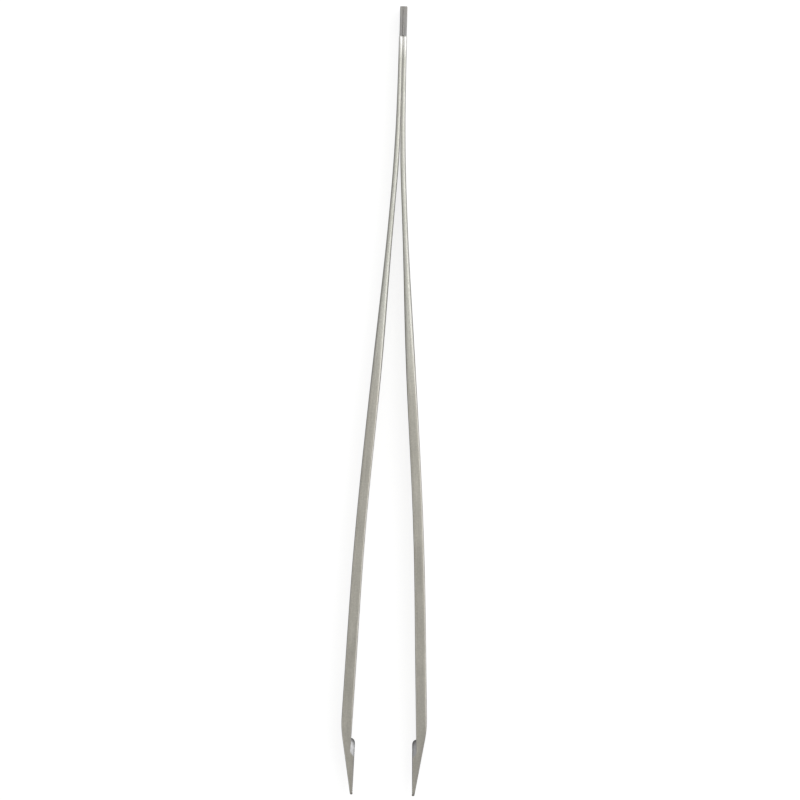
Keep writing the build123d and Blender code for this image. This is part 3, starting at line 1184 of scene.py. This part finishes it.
TOOTH_TONES = ((0.46, 0.44, 0.41), (0.66, 0.645, 0.62))
WELD_TONES = ((0.24, 0.23, 0.22), (0.38, 0.367, 0.35))
steel_finish(jaw_steel, TOOTH_TONES, (9000.0, 9000.0, 300.0), 0.26, 0.3, 600.0)
steel_finish(weld_steel, WELD_TONES, (1500.0, 1500.0, 1500.0), 0.34, 0.2, 400.0)

# %% Paint and hang every piece on its body
for arm in (right_arm, left_arm):
    arm.data.materials.append(brushed_steel)
weld_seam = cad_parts["weld_seam"]
weld_seam.data.materials.clear()
weld_seam.data.materials.append(weld_steel)

BEND_START = 32.0
BEND_END = 62.0
bend_from = (0.0, head_y - BEND_START * MM, middle_z)
bend_to = (0.0, head_y - BEND_END * MM, middle_z)
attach(teeth_rows["right_jaw_teeth"], "right_arm")
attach(teeth_rows["left_jaw_teeth"], "left_arm")
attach(weld_ripples, "head")
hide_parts("right_tang", "right_spring_leaf", "right_shank", "right_jaw")
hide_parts("left_tang", "left_spring_leaf", "left_shank", "left_jaw")
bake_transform(right_arm, "head", "right_arm", start=bend_from, end=bend_to)
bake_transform(left_arm, "head", "left_arm", start=bend_from, end=bend_to)

# %% [markdown]
# ## Floor, light and camera
# The tweezers lie flat on a white table and are seen from straight above, turned very
# slightly. The table glows softly, for the camera only, so it stays white while the
# steel still sees a grey room. Steel shows little but what it reflects, so the light is
# large and soft: a big panel on the right draws a bright line down the right edge of
# each arm, a second one beyond the head brightens the upper arms, and a weaker one on
# the left keeps the left edges and the jaws from going dark.

# %% Floor
FLOOR_SIZE = 6.0
TABLE_GREY = 0.28
TABLE_GLOW = 0.82
FLOOR_GAP = 0.02
cad_low, cad_high = cad_box
floor_z = cad_low.z - FLOOR_GAP * MM
half_floor = FLOOR_SIZE / 2
floor_ways = [(-1, -1), (1, -1), (1, 1), (-1, 1)]
floor_corners = [(x * half_floor, y * half_floor, floor_z) for x, y in floor_ways]
floor = mesh_piece("floor", floor_corners, [[0, 1, 2, 3]])
white_table = bpy.data.materials.new("white_table")
white_table.use_nodes = True
table_top = white_table.node_tree.nodes["Principled BSDF"]
table_top.inputs["Base Color"].default_value = (TABLE_GREY, TABLE_GREY, TABLE_GREY, 1)
table_top.inputs["Roughness"].default_value = 0.8
table_top.inputs["Specular IOR Level"].default_value = 0.1
table_top.inputs["Emission Color"].default_value = (TABLE_GLOW, TABLE_GLOW, TABLE_GLOW, 1)
seen_directly = add(white_table.node_tree, "ShaderNodeLightPath").outputs["Is Camera Ray"]
white_table.node_tree.links.new(seen_directly, table_top.inputs["Emission Strength"])
floor.data.materials.append(white_table)


# %% Light
def soft_panel(name, place, size, power):
    """A large soft light that points at the middle of the tweezers."""
    light = bpy.data.lights.new(name, "AREA")
    light.shape = "RECTANGLE"
    light.size, light.size_y = size
    light.energy = power
    lamp = bpy.data.objects.new(name, light)
    lamp.location = place
    lamp.rotation_euler = Vector(place).to_track_quat("Z", "Y").to_euler()
    lamp.visible_camera = False
    bpy.context.scene.collection.objects.link(lamp)
    return lamp


soft_panel("right_panel", (0.94, 0.1, 0.62), (0.95, 1.9), 5.3)
soft_panel("head_panel", (0.30, 0.73, 1.0), (1.15, 0.9), 7.2)
soft_panel("left_fill", (-0.75, -0.6, 0.85), (1.2, 1.2), 1.9)

ROOM_GREY = 0.375
room = bpy.data.worlds.new("grey_room")
room.use_nodes = True
backdrop = room.node_tree.nodes["Background"]
backdrop.inputs["Color"].default_value = (ROOM_GREY, ROOM_GREY, ROOM_GREY, 1)
bpy.context.scene.world = room
bpy.context.scene.view_settings.view_transform = "Standard"

# %% Camera
LENS = 200.0
SENSOR = 36.0
FRAME_WIDTH = 0.2740
TURN = math.radians(1.58)
ASIDE = 0.0024
UPWARD = 0.0004
camera_data = bpy.data.cameras.new("camera")
camera_data.lens = LENS
camera_data.sensor_width = SENSOR
camera = bpy.data.objects.new("camera", camera_data)
centre = (cad_low + cad_high) / 2
sideways = Vector((math.cos(TURN), math.sin(TURN), 0.0))
upwards = Vector((-math.sin(TURN), math.cos(TURN), 0.0))
above = Vector((0, 0, FRAME_WIDTH * LENS / SENSOR))
camera.location = centre + sideways * ASIDE + upwards * UPWARD + above
camera.rotation_euler = (0.0, 0.0, TURN)
bpy.context.scene.collection.objects.link(camera)
bpy.context.scene.camera = camera
print("camera height, mm:", round(camera.location.z / MM))
